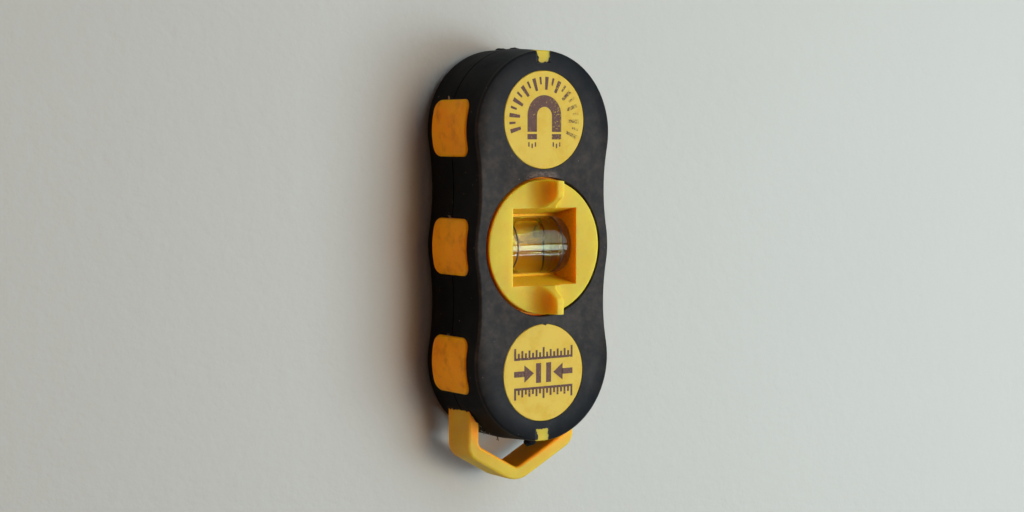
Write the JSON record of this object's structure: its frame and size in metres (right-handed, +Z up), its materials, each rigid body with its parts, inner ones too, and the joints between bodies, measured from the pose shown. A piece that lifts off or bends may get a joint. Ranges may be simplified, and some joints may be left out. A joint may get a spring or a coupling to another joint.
{
  "type": "magnetic stud finder",
  "caption": "Palm-size magnetic stud finder: rubber-jacketed plastic body with printed badges, rear magnets, a rotating lift-out bubble level and a lanyard loop.",
  "frame": {"origin": "middle of the flat back face", "axes": "+Z up the long axis away from the lanyard loop, +Y out of the flat back into the wall, +X to the right as seen from the front"},
  "size_m": [0.04, 0.0299, 0.1055],
  "materials": {
    "core_yellow": "satin moulded",
    "jacket_rubber": "matte, dusty",
    "cover_black": "fine texture",
    "screw_steel": "zinc plated",
    "badge_yellow": "printed, worn",
    "magnet_nickel": "nickel plated",
    "keeper_steel": "pressed",
    "pad_amber": "worn satin",
    "ring_rubber": "smooth",
    "bezel_yellow": "satin moulded",
    "vial_acrylic": "clear polished",
    "line_ink": "printed",
    "vial_liquid": "clear tinted",
    "bubble_air": "clear"
  },
  "bodies": {
    "case": {"core_shell": "core_yellow", "rubber_jacket": "jacket_rubber", "back_cover": "cover_black", "back_screws": "screw_steel", "badge_top": "badge_yellow", "badge_bottom": "badge_yellow", "magnet_top": "magnet_nickel", "magnet_bottom": "magnet_nickel", "magnet_keeper_top": "keeper_steel", "magnet_keeper_bottom": "keeper_steel", "grip_pad_left_top": "pad_amber", "grip_pad_left_middle": "pad_amber", "grip_pad_left_bottom": "pad_amber", "grip_pad_right_top": "pad_amber", "grip_pad_right_middle": "pad_amber", "grip_pad_right_bottom": "pad_amber"},
    "grip_ring": {"friction_ring": "ring_rubber"},
    "turret": {"level_bezel": "bezel_yellow", "vial_barrel": "vial_acrylic", "vial_plug": "vial_acrylic", "vial_lines": "line_ink", "vial_fluid": "vial_liquid"},
    "bubble": {"vial_bubble": "bubble_air"}
  },
  "joints": [
    {"name": "turret_lift", "type": "slide", "parent": "case", "child": "grip_ring", "axis": [0, -1, 0], "range_m": [0, 0.03]},
    {"name": "turret_spin", "type": "hinge", "parent": "grip_ring", "child": "turret", "pos_m": [0, -0.0121, 0], "axis": [0, -1, 0], "continuous": true},
    {"name": "bubble_slide", "type": "slide", "parent": "turret", "child": "bubble", "axis": [1, 0, 0], "range_m": [-0.003, 0.003], "stiffness_N_per_m": 4}
  ]
}
